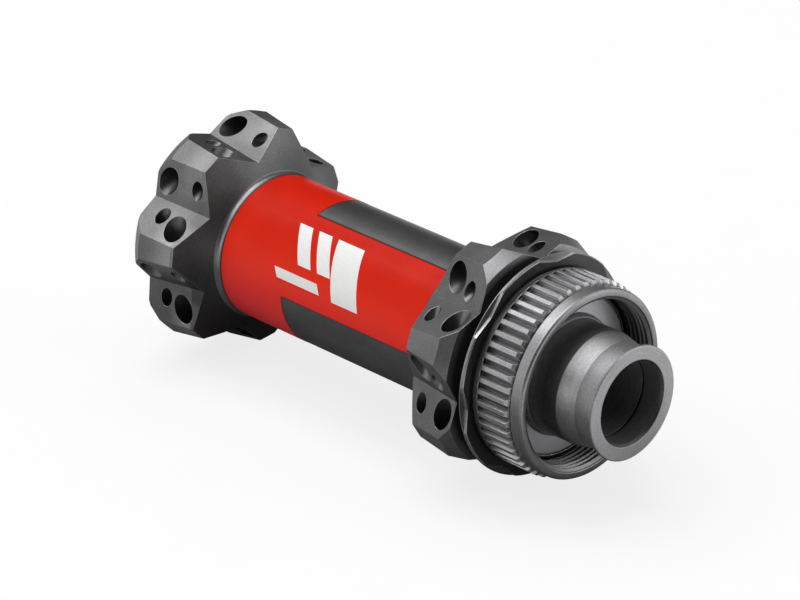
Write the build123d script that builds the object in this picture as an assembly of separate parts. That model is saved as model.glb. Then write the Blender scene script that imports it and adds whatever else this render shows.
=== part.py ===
from build123d import *
from dataclasses import dataclass
import math
import os

# Front wheel hub for a disc-brake bicycle, straight-pull spokes.
# Axle along Y, +Y is the disc side, +X forward, +Z up.
# Origin: on the axle centreline, midway between the two end faces. Millimetres.
# Angles are in degrees from +X towards +Z. Turned profiles list (radius, y).
# A "side" argument is +1 towards the disc side (+Y) and -1 towards the plain side.

# ---- driving dimensions ----
HUB_WIDTH = 110.0            # between the two end faces
THRU_R = 7.5                 # through-axle bore
LIP_R = 10.5                 # end-cap lip

LOBES = 7
LOBE_PITCH = 360.0 / LOBES
HALF_PITCH = math.radians(LOBE_PITCH / 2)

TUBE_R = 13.7                # centre tube, outside
TUBE_BORE_R = 12.2           # centre tube, inside
FILM_R = TUBE_R + 0.04       # outside of the red film
MARK_R = FILM_R + 0.03       # outside of the white film

# bearing 17 x 30 x 7
BRG_BORE_R = 8.5
BRG_OD_R = 15.0
BRG_WIDTH = 7.0
PLAIN_BRG_Y = (-48.9, -48.9 + BRG_WIDTH)
DISC_BRG_Y = (31.0, 31.0 + BRG_WIDTH)
OUTER_LAND_R = 13.6          # outer race recess, seal rim and shell shoulder


# ---- helpers ----

def turned(profile, angle=360):
    """Solid of revolution about Y from (radius, y) points."""
    return revolve(make_face(Polyline(*profile, close=True)), Axis.Y, angle)


def ring(r_in, r_out, y0, y1, angle=360):
    return turned([(r_in, y0), (r_out, y0), (r_out, y1), (r_in, y1)], angle)


def sector(r_in, r_out, y0, y1, start, end):
    """Part of a ring between two angles."""
    # a positive turn about Y carries +X towards -Z
    return ring(r_in, r_out, y0, y1, end - start).rotate(Axis.Y, -end)


def lobe_point(lobe_angle, radial, tangential, y):
    """World point from distances in the frame of one lobe."""
    angle = math.radians(lobe_angle)
    return Vector(radial * math.cos(angle) - tangential * math.sin(angle), y,
                  radial * math.sin(angle) + tangential * math.cos(angle))


def extruded(points, shift):
    return Solid.extrude(Face(Wire.make_polygon(points, close=True)), shift)


def sheared_prism(bottom, top):
    """Sweep the bottom polygon so that its first point lands on the first of top."""
    return extruded(bottom, top[0] - bottom[0])


def rod(start, end, radius):
    span = end - start
    return Solid.make_cylinder(radius, span.length, Plane(origin=start, z_dir=span.normalized()))


def torus_about_axle(ring_r, section_r, y):
    return Solid.make_torus(ring_r, section_r, Plane(origin=(0, y, 0), z_dir=(0, 1, 0)))


# ---- flange cutting geometry ----
# Each flange is a turned blank with seven V notches and seven crown flats.

@dataclass
class Flange:
    phase: float             # angle of the first lobe centre
    valley: tuple            # two (y, radius) points on the notch floor
    crown: tuple             # two (y, radial) points on the crown flat, inboard first
    crown_half: float        # half width of the crown flat at its inboard point
    cut_y: tuple             # y range swept by the cutters
    bores: tuple             # (head centre, exit centre), each (radial, tangential, y)
    head_r: float            # counterbore for the spoke head


PLAIN_FLANGE = Flange(
    phase=7.245,
    valley=((-50.0, 18.33), (-37.0, 16.369)),
    crown=((-39.401, 21.175), (-47.485, 22.198)),
    crown_half=1.903,
    cut_y=(-53.0, -34.6),
    bores=(((18.93, -5.30, -47.35), (18.28, 5.66, -45.85)),
           ((18.82, 4.42, -41.80), (18.30, -4.67, -40.60))),
    head_r=2.14)

DISC_FLANGE = Flange(
    phase=20.015,
    valley=((19.0, 16.918), (31.0, 18.627)),
    crown=((21.075, 21.319), (28.32, 22.111)),
    crown_half=1.886,
    cut_y=(16.2, 32.3),
    bores=(((18.92, -4.60, 23.20), (18.30, 5.00, 22.25)),
           ((18.85, 5.58, 28.20), (18.27, -5.95, 27.15))),
    head_r=2.17)

NOTCH_REACH = 15.0           # length of a notch cutter's flanks
FLAT_HALF = 9.0              # crown flat cutter, half width
FLAT_DEPTH = 8.0             # crown flat cutter, radial

SPOKE_R = 1.3                # small spoke bore
SPOKE_SEAT = 3.4             # small bore left between counterbore and exit centre
SPOKE_LEAD = 3.0             # small bore cutter, start before the head centre
SPOKE_RUNOUT = 4.5           # small bore cutter, run past the exit centre
HEAD_LEAD = 6.0              # counterbore cutter, start before the head centre


def line_radius(line, y):
    """Radius at y on the straight line through two (y, radius) points."""
    (y0, r0), (y1, r1) = line
    return r0 + (r1 - r0) * (y - y0) / (y1 - y0)


def notch_flank(flange):
    """Outward (radial, tangential) direction from the notch floor to the crown."""
    floor = [Vector(r * math.cos(HALF_PITCH), r * math.sin(HALF_PITCH), y)
             for y, r in flange.valley]
    crown_y, crown_r = flange.crown[0]
    corner = Vector(crown_r, flange.crown_half, crown_y)
    normal = (floor[1] - floor[0]).cross(corner - floor[0]).normalized()
    if normal.X < 0:
        normal = normal * -1
    length = math.hypot(normal.X, normal.Y)
    return normal.Y / length, -normal.X / length


def notch_section(flange, lobe_angle, y):
    """Triangle between a lobe and the next, its first point on the notch floor."""
    flank_radial, flank_tangential = notch_flank(flange)
    floor_r = line_radius(flange.valley, y)
    radial = floor_r * math.cos(HALF_PITCH)
    tangential = floor_r * math.sin(HALF_PITCH)
    far_radial = radial + flank_radial * NOTCH_REACH
    far_tangential = tangential + flank_tangential * NOTCH_REACH
    return [lobe_point(lobe_angle, radial, tangential, y),
            lobe_point(lobe_angle, far_radial, far_tangential, y),
            lobe_point(lobe_angle + LOBE_PITCH, far_radial, -far_tangential, y)]


def flat_section(flange, lobe_angle, y):
    """Rectangle resting on the crown flat."""
    crown_r = line_radius(flange.crown, y)
    corners = ((crown_r, -FLAT_HALF), (crown_r, FLAT_HALF),
               (crown_r + FLAT_DEPTH, FLAT_HALF), (crown_r + FLAT_DEPTH, -FLAT_HALF))
    return [lobe_point(lobe_angle, radial, tangential, y) for radial, tangential in corners]


def lobe_cutters(flange):
    cutters = []
    for i in range(LOBES):
        lobe_angle = flange.phase + i * LOBE_PITCH
        for section in (notch_section, flat_section):
            bottom, top = [section(flange, lobe_angle, y) for y in flange.cut_y]
            cutters.append(sheared_prism(bottom, top))
    return cutters


def spoke_bores(flange):
    """Stepped bores, two to a lobe."""
    cutters = []
    for i in range(LOBES):
        lobe_angle = flange.phase + i * LOBE_PITCH
        for head_place, exit_place in flange.bores:
            head = lobe_point(lobe_angle, *head_place)
            leave = lobe_point(lobe_angle, *exit_place)
            along = (leave - head).normalized()
            cutters.append(rod(head - along * SPOKE_LEAD, leave + along * SPOKE_RUNOUT, SPOKE_R))
            cutters.append(rod(head - along * HEAD_LEAD, leave - along * SPOKE_SEAT,
                               flange.head_r))
    return cutters


# V nicks in the shoulder ring
NICK_FLOOR = ((33.78, 19.20), (34.6, 18.98))   # (y, radius)
NICK_FLANK = math.radians(9.8)                 # flank angle from the tangent
NICK_REACH = 9.0                               # flank length and cutter half width
NICK_DEPTH = 5.0


def nick_section(angle, y, floor_r):
    flank_r = floor_r + NICK_REACH * math.sin(NICK_FLANK)
    flank_half = NICK_REACH * math.cos(NICK_FLANK)
    top_r = floor_r + NICK_DEPTH
    corners = ((floor_r, 0), (flank_r, flank_half), (top_r, NICK_REACH),
               (top_r, -NICK_REACH), (flank_r, -flank_half))
    return [lobe_point(angle, radial, tangential, y) for radial, tangential in corners]


def shoulder_nicks():
    """Nicks in line with the disc flange notches."""
    cutters = []
    for i in range(LOBES):
        angle = DISC_FLANGE.phase + (i + 0.5) * LOBE_PITCH
        bottom, top = [nick_section(angle, y, floor_r) for y, floor_r in NICK_FLOOR]
        cutters.append(sheared_prism(bottom, top))
    return cutters


# ---- hub shell ----

SPLINE_TEETH = 52
SPLINE_TIP_R = 18.05
SPLINE_ROOT_R = 17.25
SPLINE_EMBED = 0.2           # tooth feet sunk below the root radius
SPLINE_PHASE = 22.7          # centre of one gap
TIP_HALF_ANGLE = 1.3
FOOT_HALF_ANGLE = 2.6
SPLINE_Y = 35.3
SPLINE_LENGTH = 7.4

THREAD_ROOT_R = 15.98
THREAD_CREST_R = 15.40
THREAD_PITCH = 1.0
THREAD_TURNS = 5
THREAD_Y = 44.9              # outboard end

# (radius, y), from the plain end to the rim of the plain flange
PLAIN_FLANGE_OUTLINE = [(15.35, -50.1), (20.6, -50.1), (21.1, -49.75), (22.6, -46.97),
                        (22.6, -39.98)]

# (radius, y), from the rim of the disc flange to the disc end
DISC_END_OUTLINE = [
    (22.6, 21.53), (22.6, 27.63), (20.84, 30.67), (18.7, 31.2),
    (17.6, 31.35), (17.3, 31.6), (17.3, 33.3), (17.55, 33.55),
    # thin shoulder ring
    (20.35, 33.55), (20.5, 33.65), (20.5, 34.15), (20.3, 34.35),
    (17.6, 34.2), (17.4, 34.35), (17.5, 34.55),
    # spline collar
    (17.85, 34.72), (18.0, 34.87), (18.0, 35.5), (SPLINE_ROOT_R, 35.5),
    (SPLINE_ROOT_R, 42.25), (16.95, 42.3), (16.95, 42.6), (17.25, 42.68), (17.4, 42.8),
    (17.4, 44.75), (17.3, 44.93), (17.1, 45.07), (16.75, 45.16)]


def tube_fillet(cone_r, cone_y, slope, radius, side, count=9):
    """Concave fillet between the tube and a flange cone, from the tube outwards.

    The cone passes through (cone_r, cone_y); slope is its change in y per unit radius."""
    foot_y = cone_y - slope * (cone_r - TUBE_R) * side
    turn = math.atan2(1.0, slope)
    tangent_y = foot_y - side * radius * math.tan(turn / 2)
    points = []
    for i in range(count):
        angle = turn * i / (count - 1)
        points.append((TUBE_R + radius - radius * math.cos(angle),
                       tangent_y + side * radius * math.sin(angle)))
    return points


def shell_outline():
    # the plain-side cone is slightly curved; depth is measured inwards from radius 18.2
    plain_cone = []
    for i in range(8):
        depth = 0.5 * i
        plain_cone.append((18.2 - depth, -38.078 + 0.432 * depth + 0.03995 * depth ** 2))
    plain_fillet = tube_fillet(cone_r=14.22, cone_y=-35.726, slope=0.75, radius=1.3, side=-1)
    disc_fillet = tube_fillet(cone_r=16.9, cone_y=18.83, slope=0.474, radius=2.3, side=1)
    return (PLAIN_FLANGE_OUTLINE + plain_cone + plain_fillet[::-1] + disc_fillet
            + DISC_END_OUTLINE)


def shell_bore():
    """Inside profile from the disc end to the plain end."""
    points = [(16.12, 45.16), (15.95, 45.0)]
    # internal thread, drawn as separate ridges
    for i in range(THREAD_TURNS):
        y = THREAD_Y - i * THREAD_PITCH
        points += [(THREAD_ROOT_R, y), (THREAD_CREST_R, y - 0.34),
                   (THREAD_CREST_R, y - 0.46), (THREAD_ROOT_R, y - 0.80)]
    return points + [
        (THREAD_ROOT_R, 39.9), (THREAD_ROOT_R, 39.15), (BRG_OD_R, 39.15),
        (BRG_OD_R, DISC_BRG_Y[0]), (OUTER_LAND_R, DISC_BRG_Y[0]),
        (13.4, 29.6), (TUBE_BORE_R, 26.5), (TUBE_BORE_R, -38.6), (13.4, -40.6),
        (OUTER_LAND_R, PLAIN_BRG_Y[1]), (BRG_OD_R, PLAIN_BRG_Y[1]), (BRG_OD_R, -49.75)]


def spline():
    """Rotor spline teeth, bevelled at the outboard end."""
    foot_r = SPLINE_ROOT_R - SPLINE_EMBED
    tooth = ((foot_r, -FOOT_HALF_ANGLE), (SPLINE_TIP_R, -TIP_HALF_ANGLE),
             (SPLINE_TIP_R, TIP_HALF_ANGLE), (foot_r, FOOT_HALF_ANGLE))
    points = []
    for i in range(SPLINE_TEETH):
        centre = SPLINE_PHASE + 360.0 / SPLINE_TEETH * (i + 0.5)
        points += [lobe_point(centre + offset, radius, 0, SPLINE_Y) for radius, offset in tooth]
    gear = extruded(points, Vector(0, SPLINE_LENGTH, 0))
    trim = turned([(16.6, SPLINE_Y), (SPLINE_TIP_R + 0.3, SPLINE_Y), (SPLINE_TIP_R + 0.3, 41.6),
                   (SPLINE_ROOT_R - 0.05, 42.6), (16.6, 42.6)])
    return gear & trim


def hub_shell():
    body = turned(shell_outline() + shell_bore()) + spline()
    cutters = lobe_cutters(PLAIN_FLANGE) + lobe_cutters(DISC_FLANGE) + shoulder_nicks()
    cutters += spoke_bores(PLAIN_FLANGE) + spoke_bores(DISC_FLANGE)
    for cutter in cutters:
        body = body - cutter
    return max(body.solids(), key=lambda solid: solid.volume)


# ---- films on the centre tube ----

BAND_Y = (-34.25, -18.25)    # full ring
STRIP_END_Y = 15.7           # the two long strips run from the ring to here
STRIP_ANGLES = (-0.83, 70.85)

# y of the lower edge at mid length, width, start angle, end angle, y lean at each end
MARKS = [
    (-17.6, 3.3, 28.0, 58.5, 2.2),
    (-12.6, 3.3, 28.0, 58.5, 2.2),
    (-7.6, 6.6, 12.0, 58.5, 2.2),
    (-20.2, 11.0, 13.0, 20.5, 0.55),
]


def band_film():
    """Red film: a ring with two opposite strips."""
    body = ring(TUBE_R, FILM_R, *BAND_Y)
    for turn in (0, 180):
        start, end = [angle + turn for angle in STRIP_ANGLES]
        body = body + sector(TUBE_R, FILM_R, BAND_Y[1], STRIP_END_Y, start, end)
    return body


def slanted_bar(y_low, width, start, end, lean):
    """Bar wrapped on the red film: a ring layer cut by a slanted prism."""
    layer = ring(FILM_R, MARK_R, y_low - 8, y_low + width + 8)
    middle = (start + end) / 2
    half_angle = math.radians((end - start) / 2)
    half = TUBE_R * math.sin(half_angle)
    base = TUBE_R * math.cos(half_angle) - 1.0
    corners = ((-half, y_low + lean), (-half, y_low + width + lean),
               (half, y_low + width - lean), (half, y_low - lean))
    points = [lobe_point(middle, base, tangential, y) for tangential, y in corners]
    prism = extruded(points, lobe_point(middle, 6, 0, 0))
    return (layer & prism).solids()[0]


def mark_film():
    """White film: four bars on each of two opposite sides."""
    return Compound([slanted_bar(y_low, width, start + turn, end + turn, lean)
                     for turn in (0, 180)
                     for y_low, width, start, end, lean in MARKS])


# ---- bearings ----

BALL_R = 1.985
BALL_COUNT = 11
BALL_PITCH_R = 11.75
GROOVE_R = 2.02              # raceway groove
POCKET_R = 2.03              # cage pocket
RACE_CHAMFER = 0.25


def inner_race(y0, y1, groove):
    chamfer_r = BRG_BORE_R + RACE_CHAMFER
    return turned([(chamfer_r, y0), (10.25, y0), (10.25, y1), (chamfer_r, y1),
                   (BRG_BORE_R, y1 - RACE_CHAMFER), (BRG_BORE_R, y0 + RACE_CHAMFER)]) - groove


def outer_race(y0, y1, groove):
    chamfer_r = BRG_OD_R - RACE_CHAMFER
    return turned([(OUTER_LAND_R, y0), (chamfer_r, y0), (BRG_OD_R, y0 + RACE_CHAMFER),
                   (BRG_OD_R, y1 - RACE_CHAMFER), (chamfer_r, y1), (OUTER_LAND_R, y1),
                   (OUTER_LAND_R, y1 - 0.8), (13.25, y1 - 0.9),
                   (13.25, y0 + 0.9), (OUTER_LAND_R, y0 + 0.8)]) - groove


def balls_and_cage(mid_y):
    balls = []
    cage = ring(11.0, 12.5, mid_y - 2.35, mid_y + 0.9)
    for i in range(BALL_COUNT):
        angle = 2 * math.pi * (i + 0.5) / BALL_COUNT
        outward = Vector(math.cos(angle), 0, math.sin(angle))
        centre = outward * BALL_PITCH_R + Vector(0, mid_y, 0)
        balls += (Pos(centre) * Sphere(BALL_R)).solids()
        cage = cage - rod(centre - outward * 2, centre + outward * 2, POCKET_R)
    return Compound(balls), cage


def seal(face_y, side):
    """Seal just inside the bearing face that looks towards side."""
    outer_y = face_y - side * 0.2
    inner_y = face_y - side * 0.75
    lip_y = face_y - side * 0.9
    return turned([(10.30, outer_y), (OUTER_LAND_R, outer_y), (OUTER_LAND_R, inner_y),
                   (12.9, inner_y), (12.7, lip_y), (10.9, lip_y), (10.30, inner_y)])


def bearing(y0, y1, side):
    """Parts of one bearing by name; side is the outboard direction."""
    mid_y = (y0 + y1) / 2
    groove = torus_about_axle(BALL_PITCH_R, GROOVE_R, mid_y)
    balls, cage = balls_and_cage(mid_y)
    outboard_y, inboard_y = (y1, y0) if side > 0 else (y0, y1)
    return {
        "inner_race": inner_race(y0, y1, groove),
        "outer_race": outer_race(y0, y1, groove),
        "balls": balls,
        "cage": cage,
        "seal_outboard": seal(outboard_y, side),
        "seal_inboard": seal(inboard_y, -side),
    }


# ---- axle, end caps, shields ----

AXLE_END_R = 8.48            # under the end caps
AXLE_SHOULDER_R = 9.7        # against the bearings
CAP_BORE_R = 8.52            # slips over the axle
ORING_SEAT_R = 9.53
ORING_GROOVE_HALF = 0.6      # half width of the groove
ORING_RING_R = 9.01
ORING_SECTION_R = 0.49
DISC_ORING_Y = 44.65
PLAIN_ORING_Y = -51.15


def axle_tube():
    plain_y, disc_y = PLAIN_BRG_Y[1], DISC_BRG_Y[0]
    return turned([
        (THRU_R, -52.7), (8.2, -52.7), (AXLE_END_R, -52.4), (AXLE_END_R, -49.2),
        (BRG_BORE_R, -49.0), (BRG_BORE_R, plain_y),
        (AXLE_SHOULDER_R, plain_y), (AXLE_SHOULDER_R, plain_y + 3), (9.3, plain_y + 3.6),
        (9.3, disc_y - 3.6), (AXLE_SHOULDER_R, disc_y - 3), (AXLE_SHOULDER_R, disc_y),
        (BRG_BORE_R, disc_y), (BRG_BORE_R, 38.1),
        (AXLE_END_R, 38.3), (AXLE_END_R, 50.0), (8.2, 50.3), (THRU_R, 50.3)])


def cap_lip(side):
    """Outboard end of a cap; inset is the distance in from the end face."""
    lip = ((9.8, 0.75), (10.0, 0.62), (10.35, 0.58), (LIP_R, 0.45), (LIP_R, 0.15),
           (10.33, 0), (8.0, 0), (THRU_R, 0.5))
    return [(radius, side * (HUB_WIDTH / 2 - inset)) for radius, inset in lip]


def oring_groove(y, side):
    outer_y = y + side * ORING_GROOVE_HALF
    inner_y = y - side * ORING_GROOVE_HALF
    return [(CAP_BORE_R, outer_y), (ORING_SEAT_R, outer_y),
            (ORING_SEAT_R, inner_y), (CAP_BORE_R, inner_y)]


def disc_end_cap():
    inboard_y = DISC_BRG_Y[1]
    outside = [(CAP_BORE_R, inboard_y), (10.1, inboard_y), (10.1, 39.5), (10.85, 39.5),
               (11.0, 39.65), (11.0, 40.15), (10.85, 40.3), (10.6, 40.3), (10.5, 40.4),
               (10.5, 46.87), (9.8, 50.1), (9.72, 50.5), (9.72, 53.9)]
    step = [(THRU_R, 50.75), (CAP_BORE_R, 50.6)]
    return turned(outside + cap_lip(1) + step + oring_groove(DISC_ORING_Y, 1))


def plain_end_cap():
    inboard_y = PLAIN_BRG_Y[0]
    outside = [(CAP_BORE_R, inboard_y), (10.1, inboard_y), (10.1, -50.25), (10.85, -50.25),
               (11.0, -50.4), (11.0, -50.8), (10.85, -50.95), (10.5, -51.0),
               (10.5, -51.8), (9.8, -53.2), (9.72, -53.4), (9.72, -54.1)]
    step = [(THRU_R, -53.15), (CAP_BORE_R, -53.0)]
    return turned(outside + cap_lip(-1) + step + oring_groove(PLAIN_ORING_Y, -1))


def dust_shield(y_in, side):
    """Thin dished washer outboard of the bearing; side is the outboard direction."""
    y_out = y_in + side * 0.8
    return turned([(10.6, y_in + side * 0.15), (13.5, y_in), (BRG_OD_R, y_in),
                   (BRG_OD_R, y_out - side * 0.35), (14.55, y_out), (11.2, y_out),
                   (10.6, y_out - side * 0.25)])


# ---- export ----

parts = {
    "hub_shell": hub_shell(),
    "band_film": band_film(),
    "mark_film": mark_film(),
    "axle_tube": axle_tube(),
    "disc_end_cap": disc_end_cap(),
    "plain_end_cap": plain_end_cap(),
    "disc_cap_oring": torus_about_axle(ORING_RING_R, ORING_SECTION_R, DISC_ORING_Y),
    "plain_cap_oring": torus_about_axle(ORING_RING_R, ORING_SECTION_R, PLAIN_ORING_Y),
    "disc_dust_shield": dust_shield(38.3, 1),
    "plain_dust_shield": dust_shield(-49.2, -1),
}
for end_name, brg_y, side in (("plain", PLAIN_BRG_Y, -1), ("disc", DISC_BRG_Y, 1)):
    for name, shape in bearing(*brg_y, side).items():
        parts[end_name + "_" + name] = shape

os.makedirs("parts", exist_ok=True)
for name, shape in parts.items():
    export_step(shape, "parts/" + name + ".step")
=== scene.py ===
"""Rear bicycle hub on white paper.

The axle lies along y with the disc side towards +y and the plain side towards -y; z is up.
The pieces come from CAD; this script gives them materials, a floor, lights and a camera.
"""
import math
from functools import cached_property

import bpy
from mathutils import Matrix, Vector


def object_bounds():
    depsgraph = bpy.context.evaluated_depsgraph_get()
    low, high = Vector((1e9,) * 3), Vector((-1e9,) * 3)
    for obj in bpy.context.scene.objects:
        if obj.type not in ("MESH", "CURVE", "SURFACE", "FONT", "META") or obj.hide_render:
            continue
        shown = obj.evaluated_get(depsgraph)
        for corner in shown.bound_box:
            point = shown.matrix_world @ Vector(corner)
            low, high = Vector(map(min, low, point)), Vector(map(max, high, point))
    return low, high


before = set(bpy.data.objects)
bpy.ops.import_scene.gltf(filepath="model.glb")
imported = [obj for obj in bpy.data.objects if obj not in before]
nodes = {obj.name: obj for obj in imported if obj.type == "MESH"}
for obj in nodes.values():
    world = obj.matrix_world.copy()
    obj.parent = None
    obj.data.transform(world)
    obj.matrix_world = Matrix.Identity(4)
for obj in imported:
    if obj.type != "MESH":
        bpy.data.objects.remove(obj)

cad_box = [list(v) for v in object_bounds()]

# ---------------------------------------------------------------------------
# Shader building blocks. Positions in the shaders are millimetres in the
# part's own frame, so every texture rides with its piece.
# ---------------------------------------------------------------------------

# Bare windows in the printed film, seen along the axle.
WINDOW_EDGES = ((70.85, 1.0), (-0.83, 0.45))  # angle in degrees, strength of the line
WINDOW_MIDDLE = sum(angle for angle, _ in WINDOW_EDGES) / 2
WINDOW_LENGTH = (-18.3, 17.0)  # y
WINDOW_END = (-18.38, -18.12)  # y


class Field:
    """A shader output; arithmetic on it adds Math nodes to its graph."""

    def __init__(self, graph, socket):
        self.graph = graph
        self.socket = socket

    def __add__(self, other):
        return self.graph.math("ADD", self, other)

    def __radd__(self, other):
        return self.graph.math("ADD", other, self)

    def __sub__(self, other):
        return self.graph.math("SUBTRACT", self, other)

    def __rsub__(self, other):
        return self.graph.math("SUBTRACT", other, self)

    def __mul__(self, other):
        return self.graph.math("MULTIPLY", self, other)

    def __abs__(self):
        return self.graph.math("ABSOLUTE", self)

    def ramp(self, start, end, low=0.0, high=1.0):
        """Smooth step from low at start to high at end; start may be the larger."""
        values = dict(enumerate((self, start, end, low, high)))
        return self.graph.node("ShaderNodeMapRange", values, interpolation_type="SMOOTHSTEP")

    def within(self, stretch, soft):
        """1 inside the stretch, falling to 0 over a soft edge."""
        first, last = stretch
        rise = self.ramp(first - soft, first + soft)
        return rise * self.ramp(last - soft, last + soft, low=1.0, high=0.0)


class Graph:
    """The node tree of a material or a world."""

    def __init__(self, owner):
        self.owner = owner
        owner.use_nodes = True
        self.tree = owner.node_tree
        self.tree.nodes.clear()

    def node(self, kind, inputs=None, out=0, **props):
        """Add a node, fill its inputs (by name or index) and return one output."""
        made = self.tree.nodes.new(kind)
        for key, value in props.items():
            setattr(made, key, value)
        for key, value in (inputs or {}).items():
            self.put(made.inputs[key], value)
        return Field(self, made.outputs[out])

    def put(self, socket, value):
        if isinstance(value, Field):
            self.tree.links.new(value.socket, socket)
        elif value is not None:
            if hasattr(value, "__len__") and len(socket.default_value) == 4:
                value = (*value, 1.0)
            socket.default_value = value

    def finish(self, shader, kind="ShaderNodeOutputMaterial"):
        self.put(self.tree.nodes.new(kind).inputs[0], shader)
        return self.owner

    def math(self, operation, first, second=None):
        return self.node("ShaderNodeMath", {0: first, 1: second}, operation=operation)

    def vector(self, operation, first, second=None, out=0):
        return self.node("ShaderNodeVectorMath", {0: first, 1: second}, out, operation=operation)

    def combine(self, x, y, z):
        return self.node("ShaderNodeCombineXYZ", {0: x, 1: y, 2: z})

    def mix_shaders(self, mask, under, over):
        return self.node("ShaderNodeMixShader", {0: mask, 1: under, 2: over})

    @cached_property
    def position(self):
        metres = self.node("ShaderNodeTexCoord", out="Object")
        return self.node("ShaderNodeVectorMath", {0: metres, "Scale": 1000.0}, operation="SCALE")

    @cached_property
    def axes(self):
        split = self.node("ShaderNodeSeparateXYZ", {0: self.position})
        return [Field(self, socket) for socket in split.socket.node.outputs]

    @property
    def x(self):
        return self.axes[0]

    @property
    def y(self):
        return self.axes[1]

    @property
    def z(self):
        return self.axes[2]

    @cached_property
    def radius(self):
        """Distance from the axle."""
        return self.hypot(self.x, self.z)

    @cached_property
    def angle(self):
        """Angle round the axle."""
        return self.math("ARCTAN2", self.z, self.x)

    @cached_property
    def facing(self):
        """How far the surface faces along the axle, towards the disc side."""
        normal = self.node("ShaderNodeTexCoord", out="Normal")
        return self.node("ShaderNodeSeparateXYZ", {0: normal}, out="Y")

    def hypot(self, first, second):
        return self.math("SQRT", first * first + second * second)

    def noise(self, vector=None, scale=1.0, detail=2.0, rough=0.5):
        return self.node("ShaderNodeTexNoise", {
            "Vector": self.position if vector is None else vector,
            "Scale": scale, "Detail": detail, "Roughness": rough})

    def stretched(self, *factors):
        return self.vector("MULTIPLY", self.position, factors)

    def lathe(self, frequency, streak):
        """Coordinates in which noise reads as marks running round the axle."""
        radius_share = 1.37  # lets the marks show on end faces as well
        return self.combine((self.y + self.radius * radius_share) * frequency,
                            self.math("COSINE", self.angle) * streak,
                            self.math("SINE", self.angle) * streak)

    def mix(self, mask, under, over):
        return self.node("ShaderNodeMix", {0: mask, 6: under, 7: over}, out=2,
                         data_type="RGBA", blend_type="MIX")

    def gain(self, colour, factor):
        return self.vector("MULTIPLY", colour, self.combine(factor, factor, factor))

    def tint(self, colour, mask, by):
        """Scale a colour by a factor where the mask is 1."""
        return self.gain(colour, 1.0 + mask * (by - 1.0))

    def from_plane(self, degrees):
        """Distance from the plane through the axle at this angle."""
        turn = math.radians(degrees)
        return abs(self.z * math.cos(turn) - self.x * math.sin(turn))

    def film_edge(self):
        """Lines along the long edges and the ends of the two bare windows."""
        edges = [self.from_plane(angle).ramp(start=0.28, end=0.14, high=strength)
                 for angle, strength in WINDOW_EDGES]
        along = self.math("MAXIMUM", *edges) * self.y.within(WINDOW_LENGTH, soft=0.05)
        beside = self.from_plane(WINDOW_MIDDLE).ramp(start=8.0, end=8.12, high=0.5)
        return self.math("MAXIMUM", along, self.y.within(WINDOW_END, soft=0.04) * beside)

    def rounded(self, radius_mm, samples):
        """Normal rounded over at the edges."""
        return self.node("ShaderNodeBevel", {"Radius": radius_mm / 1000}, samples=samples)

    def near_edge(self, rounded, start=0.015, end=0.16):
        """How near an edge this point is, from how far its rounded normal turns."""
        flat = self.node("ShaderNodeNewGeometry", out="Normal")
        agreement = self.vector("DOT_PRODUCT", rounded, flat, out=1)
        return (1.0 - agreement).ramp(start, end)

    def bump(self, height, microns, normal=None):
        return self.node("ShaderNodeBump", {
            "Distance": microns * 1e-6, "Height": height, "Normal": normal})

    def round_tangent(self):
        """World direction running round the axle, for turned surfaces."""
        across = self.vector("CROSS_PRODUCT", self.position, (0, 1, 0))
        return self.node("ShaderNodeVectorTransform", {0: self.vector("NORMALIZE", across)},
                         vector_type="VECTOR", convert_from="OBJECT", convert_to="WORLD")

    def shade(self, colour, rough, normal, **more):
        inputs = {"Base Color": colour, "Roughness": rough, "Normal": normal}
        inputs.update((key.replace("_", " "), value) for key, value in more.items())
        return self.finish(self.node("ShaderNodeBsdfPrincipled", inputs))


def new_material(name):
    return Graph(bpy.data.materials.new(name))


def dress(material, *names):
    for name in names:
        mesh = nodes[name].data
        mesh.materials.clear()
        mesh.materials.append(material)


# ---------------------------------------------------------------------------
# Hub shell
# ---------------------------------------------------------------------------

# Stretches of the shell along the axle (y).
LOBE_FACETS = (-48.0, -37.0)
CONE = (-40.0, -35.75)
FILLET = (-35.78, -34.62)
FILM_LINE = (-34.60, -34.2)
FLANGE = (17.0, 30.9)
LOBE_BEVEL = (27.9, 31.15)
RING_GROOVES = (30.95, 33.5)
RING_CRISP = (33.3, 34.6)
RING_EDGE = (33.62, 34.72)
RING_FACE = (33.9, 34.78)
SPLINE_START = (35.44, 35.56)
SPLINE_FLOORS = (35.52, 42.62)
SPLINE = (35.55, 42.3)
SPLINE_FLANKS = (17.45, 17.98)  # radius
NECK = (42.7, 45.0)


def tint_lobes(mat, base):
    # painted light: the disc-side flange beyond radius 17 mm is made a quarter lighter than the
    # rest of the shell
    flange = mat.y.within(FLANGE, soft=0.3)
    base = mat.tint(base, flange * mat.radius.ramp(start=16.6, end=17.2), by=1.25)
    # painted highlight: the outboard bevel of each disc-side lobe is made brighter near the top
    bevel = mat.y.within(LOBE_BEVEL, soft=0.1) * mat.radius.ramp(start=19.4, end=19.8)
    bevel = bevel * mat.facing.ramp(start=0.22, end=0.36)
    base = mat.tint(base, bevel * mat.z.ramp(start=5.0, end=15.0), by=1.75)
    # painted light: plain-side facets are made paler towards the middle of the hub, most of all
    # low down
    facet = mat.y.within(LOBE_FACETS, soft=0.1) * (
        mat.radius.ramp(start=17.6, end=18.6) * mat.facing.ramp(start=0.5, end=0.35))
    paler = (facet * mat.y.ramp(start=-46.0, end=-41.0)
             * mat.z.ramp(start=14.0, end=-10.0, low=0.36, high=1.3))
    return mat.gain(base, 1.0 + paler)


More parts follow.
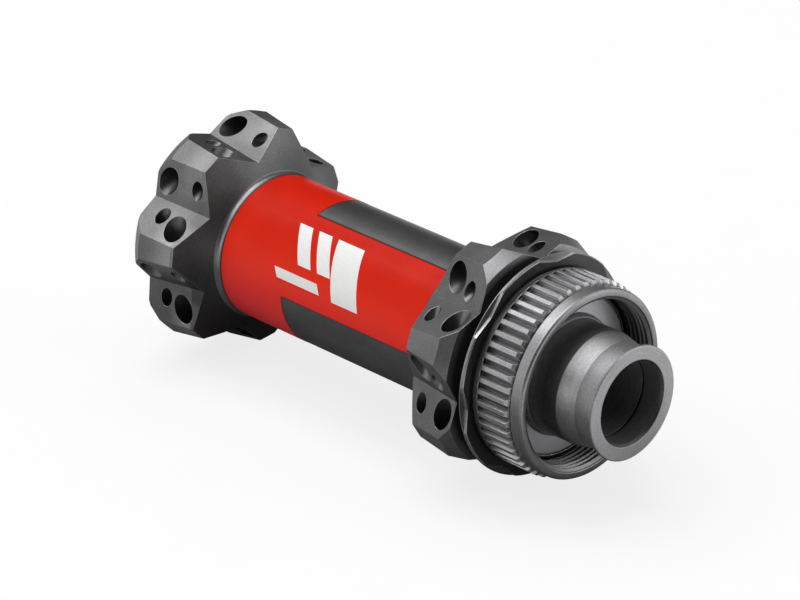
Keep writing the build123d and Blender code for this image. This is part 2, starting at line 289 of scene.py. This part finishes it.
def tint_spline(mat, base):
    """Painted highlight on the lands and flanks, painted shade in the spaces between teeth and
    at their inner end.
    """
    splined = mat.y.within(SPLINE, soft=0.04)
    # painted highlight: lands and flanks made lighter
    base = mat.tint(base, splined * mat.radius.ramp(start=17.34, end=17.42), by=1.58)
    base = mat.tint(base, splined * mat.radius.within(SPLINE_FLANKS, soft=0.03), by=1.38)
    # painted shade between the teeth and at their inner end
    floor_shade = mat.y.within(SPLINE_FLOORS, soft=0.04) * mat.radius.ramp(start=17.40, end=17.30)
    base = mat.tint(base, floor_shade, by=0.30)
    inner_end_shade = mat.y.within(SPLINE_START, soft=0.03) * mat.radius.ramp(start=18.02, end=17.95)
    return mat.tint(base, inner_end_shade, by=0.45)


def tint_ring(mat, base):
    """Painted shade in the groove each side of the shoulder ring and on its outboard face;
    painted highlight on its edge facets.
    """
    # painted shade in the groove each side of the ring
    groove_shade = mat.y.within(RING_GROOVES, soft=0.12) * mat.radius.ramp(start=20.4, end=19.9)
    base = mat.tint(base, groove_shade, by=0.46)
    # painted shade on the ring's outboard face
    face = mat.y.within(RING_FACE, soft=0.06) * (
        mat.facing.ramp(start=0.72, end=0.90) * mat.radius.ramp(start=17.2, end=17.3))
    base = mat.tint(base, face, by=0.42)
    # painted highlight on the ring's edge and nick facets
    edge = mat.y.within(RING_EDGE, soft=0.05) * mat.radius.ramp(start=20.44, end=20.38)
    edge = edge * (mat.facing.ramp(start=0.86, end=0.74) * mat.facing.ramp(start=0.0, end=0.1))
    return mat.tint(base, edge * mat.radius.ramp(start=19.1, end=19.2), by=1.9)


def tint_disc_end(mat, base):
    """Painted shade inside the recess, a painted highlight on the outermost rim and painted
    light on top of the neck.
    """
    # painted shade inside the recess
    inside = mat.y.ramp(start=38.5, end=39.0) * mat.radius.ramp(start=16.4, end=16.2)
    base = mat.tint(base, inside, by=0.84)
    # painted highlight on the outermost rim
    rim = mat.y.ramp(start=45.02, end=45.10) * mat.radius.ramp(start=16.0, end=16.2)
    base = mat.tint(base, rim, by=1.6)
    # painted light on top of the neck
    neck = mat.y.within(NECK, soft=0.05) * mat.z.ramp(start=2.0, end=13.0)
    return mat.tint(base, neck, by=1.5)


def tint_plain_side(mat, base, fillet):
    # painted shade: the cone is made darker, most of all low down
    cone = mat.y.within(CONE, soft=0.05) * mat.radius.ramp(start=14.2, end=14.32)
    low_shade_factor = mat.z.ramp(start=14.0, end=-8.0, low=0.92, high=0.46)
    base = mat.gain(base, 1.0 + cone * (low_shade_factor - 1.0))
    # painted highlight: the fillet beside the red band is made brighter; a fine dark line lies
    # against the film
    base = mat.tint(base, fillet, by=1.55)
    return mat.tint(base, mat.y.within(FILM_LINE, soft=0.04), by=0.30)


def speckle(mat, base, grain):
    return mat.gain(base, grain.ramp(start=0.30, end=0.72, low=0.86, high=1.16))


def anodised_black():
    """Bead-blasted black anodised shell; the splined end is turned, not blasted."""
    mat = new_material("black_anodised")
    soft = mat.rounded(radius_mm=0.13, samples=8)
    edge = mat.near_edge(soft, start=0.006, end=0.085)
    crisp = mat.rounded(radius_mm=0.03, samples=4)
    normal = mat.vector("NORMALIZE", mat.mix(mat.y.within(RING_CRISP, soft=0.05), soft, crisp))
    plain_end = mat.y.ramp(start=-50.02, end=-50.09) * mat.radius.ramp(start=20.7, end=20.3)
    turned = mat.math("MAXIMUM", mat.y.ramp(start=33.35, end=33.6), plain_end)
    fillet = mat.y.within(FILLET, soft=0.04) * mat.radius.ramp(start=14.30, end=14.22)
    blast = mat.noise(scale=5.5, detail=3.0, rough=0.62)
    grain = mat.noise(scale=3.0, detail=3.0, rough=0.75)
    peel = mat.noise(scale=1.1)
    marks = mat.noise(mat.lathe(frequency=7.0, streak=3.0), rough=0.6)
    cloud = mat.noise(scale=0.16)

    # dyed oxide, a little uneven, paler where it is turned, partly for the turned finish and
    # partly as painted light on the turned end
    base = mat.mix(cloud.ramp(start=0.3, end=0.7),
                   under=(0.120, 0.120, 0.122), over=(0.144, 0.144, 0.147))
    cut = mat.mix(cloud.ramp(start=0.3, end=0.7),
                  under=(0.204, 0.204, 0.208), over=(0.235, 0.235, 0.240))
    base = mat.mix(turned, base, cut)
    base = mat.mix(blast.ramp(start=0.56, end=0.78, high=0.5), base, over=(0.235, 0.235, 0.240))
    base = mat.mix(marks.ramp(start=0.5, end=0.85, high=0.35) * turned, base,
                   over=(0.36, 0.36, 0.37))
    base = tint_lobes(mat, base)
    # the thin line where the printed film ends on the tube
    on_tube = mat.radius.ramp(start=13.9, end=13.8)
    base = mat.tint(base, mat.film_edge() * on_tube, by=0.22)
    base = tint_spline(mat, base)
    base = tint_ring(mat, base)
    base = tint_disc_end(mat, base)
    base = tint_plain_side(mat, base, fillet)
    base = speckle(mat, base, grain)
    # painted edge highlight mixed with wear: edges are made pale in patches, both rubbed and
    # catching the light
    patches = mat.noise(scale=1.6, detail=3.0)
    rub_and_edge_highlight = edge * patches.ramp(start=0.34, end=0.62, low=0.35, high=0.85)
    base = mat.mix(rub_and_edge_highlight, base, over=(0.58, 0.58, 0.59))

    rough = 0.32 + blast * 0.12 - turned * 0.08 - rub_and_edge_highlight * 0.10 - fillet * 0.06
    height = blast * (1.0 - turned * 0.75) + marks * turned * 0.8
    normal = mat.bump(peel, microns=7.0, normal=normal)
    normal = mat.bump(grain, microns=9.0, normal=normal)
    normal = mat.bump(height, microns=7.0, normal=normal)
    return mat.shade(base, rough, normal, Metallic=0.85, Specular_IOR_Level=0.5,
                     Anisotropic=turned * 0.35, Tangent=mat.round_tangent())


# ---------------------------------------------------------------------------
# Other pieces
# ---------------------------------------------------------------------------


def anodised_turned(name, dark, light, face, bore_light_factor):
    """Turned and dark-anodised; the last two arguments scale the end face and the bore as
    painted light and shade.
    """
    mat = new_material(name)
    normal = mat.rounded(radius_mm=0.12, samples=6)
    fine = mat.noise(mat.lathe(frequency=11.0, streak=2.0), rough=0.6)
    wide = mat.noise(mat.lathe(frequency=1.7, streak=1.2))
    grit = mat.noise(scale=2.6, detail=3.0, rough=0.7)
    base = mat.mix(fine.ramp(start=0.3, end=0.75), dark, light)
    base = mat.mix(wide.ramp(start=0.45, end=0.8, high=0.4), base, light)
    reach = abs(mat.y)
    # painted highlight: the end face is scaled by the face factor, lighter on the caps
    base = mat.tint(base, reach.ramp(start=54.88, end=54.97), by=face)
    # the countersink is made darker; the bore is painted lighter in the axle tube and darker in
    # the caps, as painted light and shade, and has a less metallic coat
    countersink = reach.ramp(start=54.40, end=54.50) * mat.radius.ramp(start=7.99, end=7.95)
    base = mat.tint(base, countersink, by=0.35)
    bore = mat.radius.ramp(start=7.62, end=7.55)
    base = mat.tint(base, bore, by=bore_light_factor)
    base = speckle(mat, base, grit)
    # painted edge highlight mixed with wear: edges made pale in patches
    patches = mat.noise(scale=1.3, detail=3.0)
    rub_and_edge_highlight = mat.near_edge(normal) * patches.ramp(start=0.35, end=0.65, low=0.15, high=0.6)
    base = mat.mix(rub_and_edge_highlight, base, over=(0.50, 0.50, 0.51))
    rough = 0.31 + wide * 0.12 + grit * 0.07
    normal = mat.bump(fine * 0.8 + grit * 0.8, microns=5.5, normal=normal)
    return mat.shade(base, rough, normal, Metallic=0.9 - bore * 0.6,
                     Anisotropic=0.45, Tangent=mat.round_tangent())


def red_film():
    """Printed film with a satin lacquer; its cut edges read as a fine dark line."""
    mat = new_material("red_film")
    peel = mat.noise(scale=1.4)
    pigment = mat.noise(scale=4.0)
    cloud = mat.noise(scale=0.12, detail=1.0)
    base = mat.mix(cloud.ramp(start=0.3, end=0.7),
                   under=(0.545, 0.010, 0.001), over=(0.605, 0.013, 0.002))
    base = mat.mix(pigment.ramp(start=0.50, end=0.8, high=0.3), base, over=(0.80, 0.035, 0.015))
    # painted light: the film is made paler and cooler round the underside
    base = mat.mix(mat.z.ramp(start=13.4, end=-1.0), base, over=(0.87, 0.028, 0.006))
    base = mat.mix(mat.z.ramp(start=7.0, end=-8.0), base, over=(0.88, 0.044, 0.048))
    base = mat.tint(base, mat.film_edge(), by=0.22)
    return mat.shade(base, 0.34 + pigment * 0.10, mat.bump(pigment, microns=2.0),
                     Coat_Weight=0.06, Coat_Roughness=0.16, Specular_IOR_Level=0.08,
                     Coat_Normal=mat.bump(peel, microns=5.0))


def white_film():
    """White print on the red film; the ground shows a touch through it."""
    mat = new_material("white_film")
    ink = mat.noise(scale=7.0, detail=3.0)
    base = mat.mix(ink.ramp(start=0.35, end=0.7),
                   under=(0.80, 0.79, 0.78), over=(0.90, 0.90, 0.89))
    thin = mat.noise(scale=0.5).ramp(start=0.6, end=0.85, high=0.12)
    base = mat.mix(thin, base, over=(0.85, 0.60, 0.57))
    return mat.shade(base, 0.34 + ink * 0.12, mat.bump(ink, microns=2.0),
                     Coat_Weight=0.35, Coat_Roughness=0.18)


def shield_alloy():
    """Pressed and faced dust shield, given a pale base as painted light; the plain-side one is
    darker, as painted shade.
    """
    mat = new_material("shield_alloy")
    fine = mat.noise(mat.lathe(frequency=9.0, streak=2.0), detail=3.0, rough=0.65)
    base = mat.mix(fine.ramp(start=0.3, end=0.75),
                   under=(0.78, 0.77, 0.82), over=(0.92, 0.91, 0.95))
    # painted shade: the plain-side shield is made darker
    base = mat.tint(base, mat.y.ramp(start=0.0, end=-10.0), by=0.60)
    normal = mat.bump(fine, microns=4.0, normal=mat.rounded(radius_mm=0.08, samples=4))
    return mat.shade(base, 0.30 + fine * 0.16, normal, Metallic=0.5,
                     Anisotropic=0.4, Tangent=mat.round_tangent())


def ground_steel():
    """Ground bearing-race steel with an oil tint."""
    mat = new_material("bearing_steel")
    fine = mat.noise(mat.lathe(frequency=16.0, streak=1.5), rough=0.6)
    oil = mat.noise(scale=0.35)
    base = mat.mix(fine.ramp(start=0.3, end=0.75),
                   under=(0.50, 0.50, 0.51), over=(0.66, 0.66, 0.67))
    base = mat.mix(oil.ramp(start=0.5, end=0.8, high=0.35), base, over=(0.52, 0.47, 0.38))
    normal = mat.bump(fine, microns=2.5, normal=mat.rounded(radius_mm=0.08, samples=4))
    return mat.shade(base, 0.16 + fine * 0.16, normal, Metallic=1.0,
                     Anisotropic=0.5, Tangent=mat.round_tangent())


def ball_steel():
    """Polished balls with faint lines."""
    mat = new_material("ball_steel")
    haze = mat.noise(scale=1.2, detail=3.0)
    lines = mat.noise(mat.stretched(1.0, 22.0, 1.0))
    base = mat.mix(haze.ramp(start=0.35, end=0.7),
                   under=(0.70, 0.70, 0.71), over=(0.80, 0.80, 0.81))
    rough = 0.05 + lines.ramp(start=0.55, end=0.8) * 0.12
    return mat.shade(base, rough, mat.bump(lines, microns=0.6), Metallic=1.0)


def seal_rubber():
    """Moulded rubber: concentric mould lines, dusty bloom."""
    mat = new_material("seal_rubber")
    normal = mat.rounded(radius_mm=0.08, samples=4)
    skin = mat.noise(scale=8.0, detail=3.0, rough=0.65)
    rings = mat.noise(mat.lathe(frequency=2.6, streak=0.8), detail=1.0)
    bloom = mat.noise(scale=0.5, detail=3.0)
    base = mat.mix(bloom.ramp(start=0.4, end=0.75),
                   under=(0.016, 0.016, 0.017), over=(0.040, 0.040, 0.041))
    base = mat.mix(mat.near_edge(normal) * 0.3, base, over=(0.08, 0.08, 0.08))
    normal = mat.bump(skin * 0.5 + rings, microns=6.0, normal=normal)
    return mat.shade(base, 0.50 + skin * 0.22, normal, Sheen_Weight=0.08)


def cage_nylon():
    """Glass-filled nylon ball cage."""
    mat = new_material("cage_nylon")
    grain = mat.noise(scale=5.0, detail=3.0)
    fibre = mat.noise(mat.stretched(3.0, 14.0, 3.0))
    base = mat.mix(grain.ramp(start=0.3, end=0.7),
                   under=(0.50, 0.44, 0.30), over=(0.62, 0.56, 0.41))
    base = mat.mix(fibre.ramp(start=0.6, end=0.8, high=0.4), base, over=(0.74, 0.70, 0.58))
    return mat.shade(base, 0.42 + grain * 0.15, mat.bump(grain + fibre, microns=5.0),
                     Subsurface_Weight=0.08, Subsurface_Radius=(0.0006, 0.0005, 0.0003))


dress(anodised_black(), "hub_shell")
# the face and bore factors paint light and shade into the end faces and bores
dress(anodised_turned("cap_anodised", dark=(0.218, 0.218, 0.223), light=(0.306, 0.306, 0.312),
                      face=1.92, bore_light_factor=0.62), "disc_end_cap", "plain_end_cap")
dress(anodised_turned("axle_anodised", dark=(0.075, 0.075, 0.079), light=(0.125, 0.125, 0.13),
                      face=1.0, bore_light_factor=2.3), "axle_tube")
dress(red_film(), "band_film")
dress(white_film(), "mark_film")
dress(shield_alloy(), "disc_dust_shield", "plain_dust_shield")
dress(ground_steel(), "disc_inner_race", "disc_outer_race", "plain_inner_race",
      "plain_outer_race")
dress(ball_steel(), "disc_balls", "plain_balls")
dress(cage_nylon(), "disc_cage", "plain_cage")
dress(seal_rubber(), "disc_seal_outboard", "disc_seal_inboard", "plain_seal_outboard",
      "plain_seal_inboard", "disc_cap_oring", "plain_cap_oring")

# ---------------------------------------------------------------------------
# Floor and world (metres)
# ---------------------------------------------------------------------------

FLOOR_HALF = 4.0
FLOOR_GAP = 0.0001  # below the lowest point of the hub
AMBIENT = 0.02
WHITE = (1, 1, 1)

scene = bpy.context.scene


def floor_material():
    """White paper that runs up into the white backdrop far away."""
    mat = new_material("floor_paper")
    seen = mat.node("ShaderNodeLightPath", out="Is Camera Ray")
    distance = mat.hypot(mat.x, mat.y)
    base = mat.mix(mat.noise(scale=0.08, detail=4.0),
                   under=(0.86, 0.86, 0.86), over=(0.90, 0.90, 0.90))
    # a grey card lies under the hub for bounced light only, so its underside stays dark
    card = distance.ramp(start=65.0, end=125.0, low=0.24, high=0.82)
    colour = mat.mix(seen, mat.combine(card, card, card), base)
    paper = mat.node("ShaderNodeBsdfDiffuse", {0: colour})
    glow = mat.node("ShaderNodeEmission", {0: WHITE, 1: seen * 1.0})
    least_glow = 0.80
    far = distance.ramp(start=230.0, end=620.0)
    glowing = seen * mat.math("MAXIMUM", far, least_glow)
    return mat.finish(mat.mix_shaders(glowing, paper, glow))


def build_floor():
    z = cad_box[0][2] - FLOOR_GAP
    corners = [(x * FLOOR_HALF, y * FLOOR_HALF, z)
               for x, y in ((-1, -1), (1, -1), (1, 1), (-1, 1))]
    mesh = bpy.data.meshes.new("floor")
    mesh.from_pydata(corners, [], [(0, 1, 2, 3)])
    floor = bpy.data.objects.new("floor", mesh)
    scene.collection.objects.link(floor)
    mesh.materials.append(floor_material())


def build_world():
    """White to the camera, a faint cool fill to everything else."""
    world = bpy.data.worlds.new("studio")
    scene.world = world
    graph = Graph(world)
    camera_ray = graph.node("ShaderNodeLightPath", out="Is Camera Ray")
    fill = graph.node("ShaderNodeBackground", {0: (0.95, 0.97, 1.0), 1: AMBIENT})
    backdrop = graph.node("ShaderNodeBackground", {0: WHITE})
    graph.finish(graph.mix_shaders(camera_ray, fill, backdrop), "ShaderNodeOutputWorld")


build_floor()
build_world()

# ---------------------------------------------------------------------------
# Lights and camera (metres; azimuth in degrees from -y towards +x)
# ---------------------------------------------------------------------------

BOX_DISTANCE = 1.5
BOX_WIDTH = 0.66
BOX_HEIGHT = 0.62

# ring name, elevation in degrees, then azimuth and radiance of each softbox
LIGHT_RINGS = [
    ("over", 82, [(0, 3.49), (180, 2.09), (270, 1.20)]),
    ("high", 58, [(22.5, 3.04), (67.5, 3.54), (112.5, 0.94), (202.5, 0.51), (292.5, 1.18),
                  (337.5, 1.98)]),
    ("mid", 32, [(30, 0.40), (60, 1.29), (90, 0.21), (210, 1.60), (240, 1.01), (270, 0.23),
                 (300, 0.17)]),
    ("low", 8, [(45, 1.04), (75, 2.04), (195, 0.62), (225, 2.36), (255, 0.73), (345, 0.50)]),
]

CAMERA_PLACE = (0.4520994, 0.4607286, 0.3103633)
CAMERA_AZIMUTH = 135.6458
CAMERA_ELEVATION = 25.6272


def direction(azimuth, elevation):
    around, up = math.radians(azimuth), math.radians(elevation)
    return Vector((math.sin(around) * math.cos(up), -math.cos(around) * math.cos(up),
                   math.sin(up)))


def add_aimed(name, data, place, back):
    """Add a light or camera that looks against the direction `back`."""
    made = bpy.data.objects.new(name, data)
    made.location = place
    made.rotation_mode = "QUATERNION"
    made.rotation_quaternion = (-back).to_track_quat("-Z", "Y")
    scene.collection.objects.link(made)
    return made


def softbox(name, azimuth, elevation, radiance):
    light = bpy.data.lights.new(name, "AREA")
    light.shape = "RECTANGLE"
    light.size = BOX_WIDTH
    light.size_y = BOX_HEIGHT
    light.energy = radiance * math.pi * BOX_WIDTH * BOX_HEIGHT
    back = direction(azimuth, elevation)
    add_aimed(name, light, back * BOX_DISTANCE, back).visible_camera = False


for ring, elevation, boxes in LIGHT_RINGS:
    for azimuth, radiance in boxes:
        softbox(f"{ring}_{azimuth}".replace(".", "_"), azimuth, elevation, radiance)

scene.view_settings.view_transform = "Standard"
scene.view_settings.look = "None"
scene.view_settings.exposure = 0.0
scene.view_settings.gamma = 1.0

camera = bpy.data.cameras.new("camera")
camera.sensor_width = 36.0
camera.lens = 180.0
camera.clip_start = 0.05
camera.clip_end = 50.0
scene.camera = add_aimed("camera", camera, CAMERA_PLACE,
                         direction(CAMERA_AZIMUTH, CAMERA_ELEVATION))
